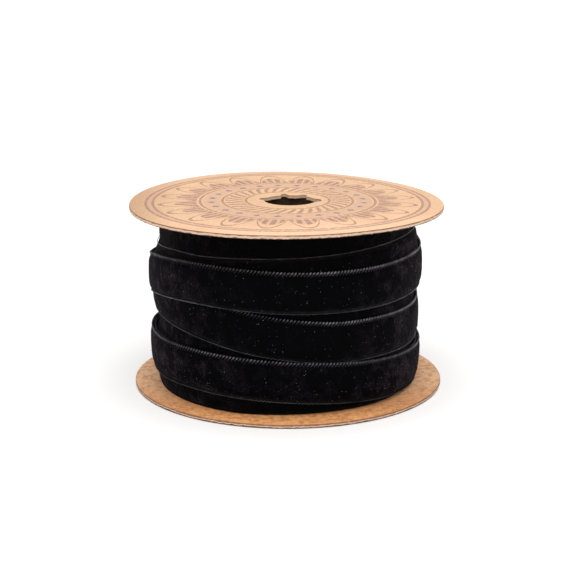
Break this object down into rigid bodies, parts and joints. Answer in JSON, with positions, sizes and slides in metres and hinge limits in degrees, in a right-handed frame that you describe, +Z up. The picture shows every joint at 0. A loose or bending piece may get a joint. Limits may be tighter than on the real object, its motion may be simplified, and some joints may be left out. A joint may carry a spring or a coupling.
{
  "type": "roll of velvet ribbon on a card spool",
  "caption": "Narrow black velvet ribbon wound in slanting wraps on a card spool with two round kraft card flanges and an open arbor hole.",
  "frame": {"origin": "middle of the lower card's underside, on the surface the spool stands on", "axes": "+Z up along the core tube's axis, -Y towards the side seen in the picture, +X to the right of it"},
  "size_m": [0.1275, 0.1276, 0.0771],
  "materials": {
    "kraft_card": "uncoated kraft card, matt, with fibres and a layered edge",
    "core_card": "spiral-wound card tube, matt",
    "velvet": "black velvet pile with a soft sheen at grazing angles",
    "selvedge": "black ribbed selvedge, satin"
  },
  "bodies": {
    "root": {"card_bottom": "kraft_card", "core_tube": "core_card", "ribbon_roll": "velvet", "card_top": "kraft_card"}
  },
  "joints": []
}
